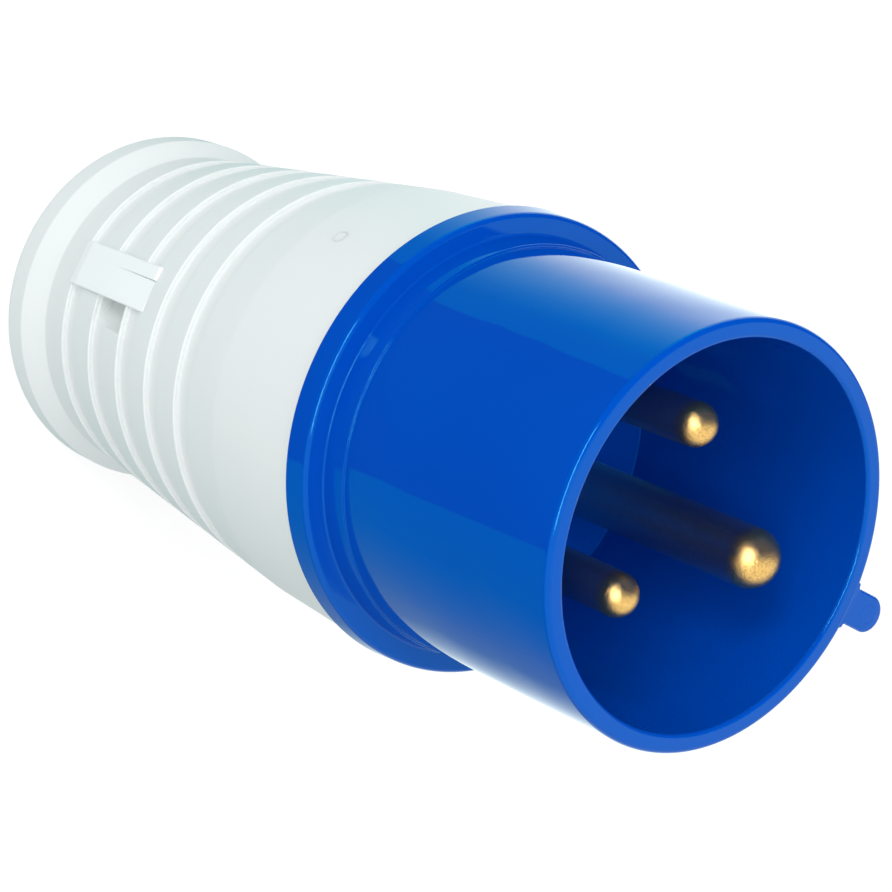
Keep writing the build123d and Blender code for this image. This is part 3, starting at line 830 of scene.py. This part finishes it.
def seen_share(nodes, links):
    """A share that is 1 for camera, mirror and glass rays, and 0 for light."""
    path = nodes.new("ShaderNodeLightPath")
    mirrored = worked_out(nodes, links, "MAXIMUM", path.outputs["Is Camera Ray"], path.outputs["Is Glossy Ray"])
    return worked_out(nodes, links, "MAXIMUM", mirrored, path.outputs["Is Transmission Ray"])


def studio_world():
    """A pale light, slightly stronger from -X. Mirror rays see white below a slanting plane and dark blue above it.

    The share of white is 1 where the ray's direction, dotted with the plane's upward normal, is under -0.16, and
    falls to 0 at -0.04.
    """
    light_level, slope, seen_level = 0.7, (-0.03, 0.0, 0.0), 1.0
    white, studio = (1.0, 1.0, 1.0, 1.0), (0.06, 0.09, 0.32, 1.0)
    world = bpy.data.worlds.new("studio")
    world.use_nodes = True
    world.cycles.sampling_method = "NONE"
    nodes, links = world.node_tree.nodes, world.node_tree.links
    back = nodes["Background"]
    ray = nodes.new("ShaderNodeTexCoord").outputs["Generated"]
    path = nodes.new("ShaderNodeLightPath")
    above = reach_along(nodes, links, ray, STUDIO_UP)
    dark = carried_over(nodes, links, above, (-0.16, -0.04), smooth=True)
    tone = colour_mix(nodes, white, studio)
    share = worked_out(nodes, links, "MULTIPLY", dark, path.outputs["Is Glossy Ray"])
    links.new(share, tone.inputs["Factor"])
    links.new(tone.outputs["Result"], back.inputs["Color"])
    level = nodes.new("ShaderNodeMix")
    uneven = worked_out(nodes, links, "ADD", reach_along(nodes, links, ray, slope), light_level)
    links.new(uneven, level.inputs["A"])
    level.inputs["B"].default_value = seen_level
    links.new(seen_share(nodes, links), level.inputs["Factor"])
    links.new(level.outputs["Result"], back.inputs["Strength"])
    return world


def area_light(name, place, aim, width, height, power, mirrored=True, upward=(0.0, 0.0, 1.0)):
    """A rectangular lamp at a place in metres, facing a point, its height along the upward direction.

    An unmirrored lamp leaves no spot on gloss.
    """
    lamp = bpy.data.lights.new(name, "AREA")
    lamp.shape = "RECTANGLE"
    lamp.size, lamp.size_y = width, height
    lamp.energy = power
    holder = bpy.data.objects.new(name, lamp)
    holder.visible_glossy = mirrored
    holder.location = place
    back = (Vector(place) - Vector(aim)).normalized()
    across = Vector(upward).cross(back).normalized()
    holder.rotation_euler = Matrix((across, back.cross(across), back)).transposed().to_euler()
    bpy.context.scene.collection.objects.link(holder)
    return holder


def floor_material(name):
    """A matt floor: bright with a white glow for the camera, darker but rising towards +X and -Y for mirror rays.

    The mirrored floor is cyan towards +Y and white towards -Y.
    """
    level, mirrored_level, mirrored_red, glow_level = 0.5, 0.2, 0.05, 0.56
    cyan, white = (0.0, 1.0, 1.0, 1.0), (1.0, 1.0, 1.0, 1.0)
    surface, nodes, links, _ = new_material(name)
    nodes.clear()
    path = nodes.new("ShaderNodeLightPath")
    is_seen, is_mirrored = path.outputs["Is Camera Ray"], path.outputs["Is Glossy Ray"]
    place = nodes.new("ShaderNodeTexCoord").outputs["Object"]
    tone = colour_mix(nodes, (level, level, level, 1.0), (mirrored_red, mirrored_level, mirrored_level, 1.0))
    links.new(is_mirrored, tone.inputs["Factor"])
    matt = nodes.new("ShaderNodeBsdfDiffuse")
    links.new(tone.outputs["Result"], matt.inputs["Color"])
    along = reach_along(nodes, links, place, (-0.5, 1.0, 0.0))
    rise = carried_over(nodes, links, along, (0.0, -110 * MM), (0.3, 1.6))
    mirrored = worked_out(nodes, links, "MULTIPLY", rise, is_mirrored)
    strength = worked_out(nodes, links, "MULTIPLY_ADD", is_seen, glow_level, mirrored)
    glow = nodes.new("ShaderNodeEmission")
    links.new(strength, glow.inputs["Strength"])
    apart = nodes.new("ShaderNodeSeparateXYZ")
    links.new(place, apart.inputs["Vector"])
    red = carried_over(nodes, links, apart.outputs["Y"], (45 * MM, -30 * MM))
    unmirrored = worked_out(nodes, links, "SUBTRACT", 1.0, is_mirrored)
    cast = colour_mix(nodes, cyan, white)
    links.new(worked_out(nodes, links, "MAXIMUM", red, unmirrored), cast.inputs["Factor"])
    links.new(cast.outputs["Result"], glow.inputs["Color"])
    total = nodes.new("ShaderNodeAddShader")
    links.new(matt.outputs["BSDF"], total.inputs[0])
    links.new(glow.outputs["Emission"], total.inputs[1])
    out = nodes.new("ShaderNodeOutputMaterial")
    links.new(total.outputs["Shader"], out.inputs["Surface"])
    return surface


def dark_card():
    """A dark card over the floor that only mirror rays see: a flat sector, (r cos a, r sin a), round the plug."""
    near, far, lift = 70, 420, 1.0
    r, a = np.meshgrid([near, far], np.radians(np.linspace(39.5, 129.6, 31)), indexing="ij")
    grid = np.stack([r * np.cos(a), r * np.sin(a), np.full(r.shape, lift)], axis=-1)
    card = mesh_object("dark_card", grid.reshape(-1, 3), grid_faces(*r.shape))
    surface, _, _, shader = new_material("dark_card")
    shader.inputs["Base Color"].default_value = (0.05, 0.07, 0.3, 1.0)
    shader.inputs["Specular IOR Level"].default_value = 0.0
    card.data.materials.append(surface)
    card.visible_camera = card.visible_diffuse = card.visible_shadow = card.visible_transmission = False


# Square lamps that light the plug but leave no spot on gloss: name, place in metres, side and power
SOFT_LAMPS = (
    ("high_box", (0.16, 0.2, 0.9), 0.7, 2.8),
    ("side_box", (0.2, 0.42, 0.33), 0.2, 0.65),
    ("front_box", (-0.06, 0.36, 0.4), 0.2, 0.4),
)


class PLUG_OT_stage(Operator):
    """Sets up the floor, the light and the camera"""

    bl_idname = "plug.stage"
    bl_label = "Stage"

    def execute(self, context):
        scene = context.scene
        scene.view_settings.view_transform = "Standard"
        corners = 2500.0 * np.array([(-1, -1, 0), (1, -1, 0), (1, 1, 0), (-1, 1, 0)])
        floor = mesh_object("floor", corners, [[0, 1, 2, 3]])
        floor.data.materials.append(floor_material("floor_white"))
        floor.visible_diffuse = floor.visible_shadow = False
        dark_card()
        scene.world = studio_world()

        for name, place, side, power in SOFT_LAMPS:
            area_light(name, place, (0.0, 0.0, 0.07), side, side, power, mirrored=False)
        # A lamp for the spots on the pins' round ends, which only mirror rays see
        spot = area_light("spot_box", (-0.01, 0.34, 0.385), (0.0, 0.0, 0.11), width=0.09, height=0.36, power=1.3,
                          upward=STUDIO_UP)
        spot.visible_diffuse = False

        # Fitted to the rim, the flange, the body's outline and the pins
        view = bpy.data.cameras.new("camera")
        view.lens = 94.714
        view.sensor_width = 36.0
        view.clip_start, view.clip_end = 0.01, 10.0
        holder = bpy.data.objects.new("camera", view)
        holder.location = (-9.716 * MM, 183.87 * MM, 282.32 * MM)
        holder.rotation_euler = Euler(np.radians((-18.8373, -36.9051, -58.1226)), "XYZ")
        scene.collection.objects.link(holder)
        scene.camera = holder
        return {"FINISHED"}


class PLUG_PT_panel(Panel):
    """Sizes, colours and build steps of the plug"""

    bl_idname = "PLUG_PT_panel"
    bl_label = "Industrial plug"
    bl_space_type = "VIEW_3D"
    bl_region_type = "UI"
    bl_category = "Plug"

    def draw(self, context):
        for group, holder in ((PlugSizes, context.scene.plug_sizes), (PlugColours, context.scene.plug_colours)):
            column = self.layout.column()
            for name in group.__annotations__:
                column.prop(holder, name)
        for step in STEPS:
            self.layout.operator(step.bl_idname)


STEPS = (PLUG_OT_inner, PLUG_OT_shroud, PLUG_OT_housing, PLUG_OT_pins, PLUG_OT_tail, PLUG_OT_stage)
CLASSES = (PlugSizes, PlugColours, *STEPS, PLUG_PT_panel)


def register():
    for cls in CLASSES:
        bpy.utils.register_class(cls)
    bpy.types.Scene.plug_sizes = PointerProperty(type=PlugSizes)
    bpy.types.Scene.plug_colours = PointerProperty(type=PlugColours)


def unregister():
    del bpy.types.Scene.plug_colours
    del bpy.types.Scene.plug_sizes
    for cls in reversed(CLASSES):
        bpy.utils.unregister_class(cls)


def main():
    register()
    bpy.ops.plug.inner()
    bpy.ops.plug.shroud()
    bpy.ops.plug.housing()
    bpy.ops.plug.pins()
    bpy.ops.plug.tail()
    bpy.ops.plug.stage()


if __name__ == "__main__":
    main()
